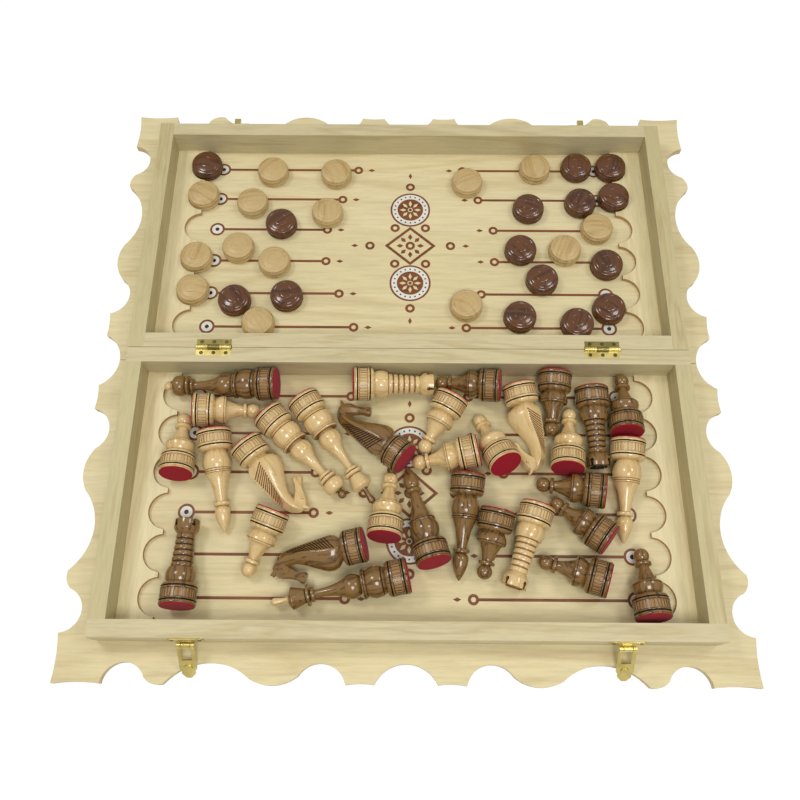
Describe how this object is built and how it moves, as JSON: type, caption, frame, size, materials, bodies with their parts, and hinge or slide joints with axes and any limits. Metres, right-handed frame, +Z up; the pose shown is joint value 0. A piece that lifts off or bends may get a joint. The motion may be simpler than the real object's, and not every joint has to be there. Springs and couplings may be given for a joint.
{
  "type": "hinged games compendium box",
  "caption": "Hinged wooden chess, draughts and backgammon box lying open flat, with scalloped overhanging boards, brass hinges and latches, turned men and draughts.",
  "frame": {"origin": "middle of the hinge line, on the surface that the opened box lies on", "axes": "+X along the hinge line to the right, +Y away from the front tray that holds the chessmen, +Z up"},
  "size_m": [0.566, 0.566, 0.0455],
  "materials": {
    "pine": "satin",
    "dark_square": "satin",
    "inlay_brown": "satin",
    "inlay_white": "satin",
    "inlay_blue": "satin",
    "brass": "polished",
    "light_wood": "gloss",
    "dark_wood": "gloss",
    "red_brown_wood": "gloss",
    "felt": "matte"
  },
  "bodies": {
    "front_half": {"front_board": "pine", "front_rail": "pine", "front_hinge_rail": "pine", "front_left_side": "pine", "front_right_side": "pine", "front_nests_left": "pine", "front_nests_right": "pine", "front_dark_squares": "dark_square", "front_inlay_brown": "inlay_brown", "front_inlay_white": "inlay_white", "front_inlay_blue": "inlay_blue", "left_hinge_front_leaf": "brass", "right_hinge_front_leaf": "brass", "left_hinge_pin": "brass", "right_hinge_pin": "brass", "hinge_screws_front": "brass", "left_latch_plate": "brass", "right_latch_plate": "brass", "left_latch_pin": "brass", "right_latch_pin": "brass", "latch_nails_front": "brass"},
    "rear_half": {"rear_board": "pine", "rear_far_rail": "pine", "rear_hinge_rail": "pine", "rear_left_side": "pine", "rear_right_side": "pine", "rear_nests_left": "pine", "rear_nests_right": "pine", "rear_dark_squares": "dark_square", "rear_inlay_brown": "inlay_brown", "rear_inlay_white": "inlay_white", "rear_inlay_blue": "inlay_blue", "left_hinge_rear_leaf": "brass", "right_hinge_rear_leaf": "brass", "hinge_screws_rear": "brass", "left_latch_catch": "brass", "right_latch_catch": "brass", "latch_nails_rear": "brass"},
    "left_hasp": {"left_latch_hasp": "brass"},
    "right_hasp": {"right_latch_hasp": "brass"},
    "chessmen": {"light_king": "light_wood", "light_queen": "light_wood", "light_bishops": "light_wood", "light_knights": "light_wood", "light_rooks": "light_wood", "light_pawns": "light_wood", "light_finials": "light_wood", "dark_king": "dark_wood", "dark_queen": "dark_wood", "dark_bishops": "dark_wood", "dark_knights": "dark_wood", "dark_rooks": "dark_wood", "dark_pawns": "dark_wood", "dark_finials": "dark_wood", "light_felts": "felt", "dark_felts": "felt"},
    "draughts": {"light_draughts": "light_wood", "dark_draughts": "red_brown_wood"}
  },
  "joints": [
    {"name": "lid_fold", "type": "hinge", "parent": "front_half", "child": "rear_half", "pos_m": [0, 0, 0.03525], "axis": [-1, 0, 0], "range_deg": [-180, 0]},
    {"name": "left_hasp_turn", "type": "hinge", "parent": "front_half", "child": "left_hasp", "pos_m": [-0.173, -0.2546, 0.026], "axis": [1, 0, 0], "range_deg": [-135.7, 0]},
    {"name": "right_hasp_turn", "type": "hinge", "parent": "front_half", "child": "right_hasp", "pos_m": [0.173, -0.2546, 0.026], "axis": [1, 0, 0], "range_deg": [-135.7, 0]},
    {"name": "chessmen_lift", "type": "slide", "parent": "front_half", "child": "chessmen", "axis": [0, 0, 1], "range_m": [0, 0.06]},
    {"name": "draughts_lift", "type": "slide", "parent": "rear_half", "child": "draughts", "axis": [0, 0, 1], "range_m": [0, 0.06]}
  ]
}
